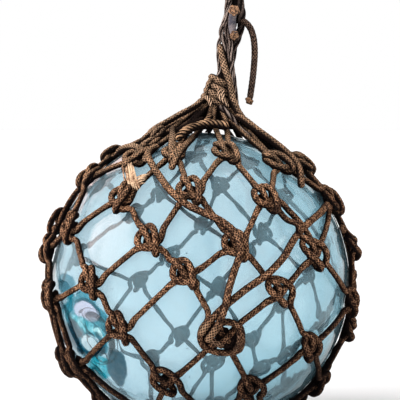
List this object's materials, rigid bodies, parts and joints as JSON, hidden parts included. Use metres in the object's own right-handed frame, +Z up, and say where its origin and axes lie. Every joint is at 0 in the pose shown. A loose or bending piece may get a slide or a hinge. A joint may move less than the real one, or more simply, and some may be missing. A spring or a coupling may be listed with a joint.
{
  "type": "glass float ball in a rope net",
  "caption": "Round blown-glass fishing float with a seal button, held in a knotted rope net that is lashed into a neck with a hanging loop.",
  "frame": {"origin": "on the ground, under the middle of the ball and of the rope ring that the float stands on", "axes": "+Z up through the ball towards the neck and the hanging loop; the front, with the seal button low on its left, faces -Y"},
  "size_m": [0.3248, 0.3313, 0.5035],
  "materials": {
    "aqua_glass": "clear pale aqua glass with fine bubbles",
    "net_rope": "rust-brown weathered braided rope",
    "lanyard_rope": "grey-brown weathered laid rope"
  },
  "bodies": {
    "root": {"glass_ball": "aqua_glass", "rope_net": "net_rope", "foot_ring": "net_rope", "neck_lashing": "net_rope", "drawstring": "net_rope", "slack_rope": "net_rope", "cross_rope": "net_rope", "shoulder_rope": "net_rope", "lanyard": "lanyard_rope", "rope_tail": "lanyard_rope"}
  },
  "joints": []
}
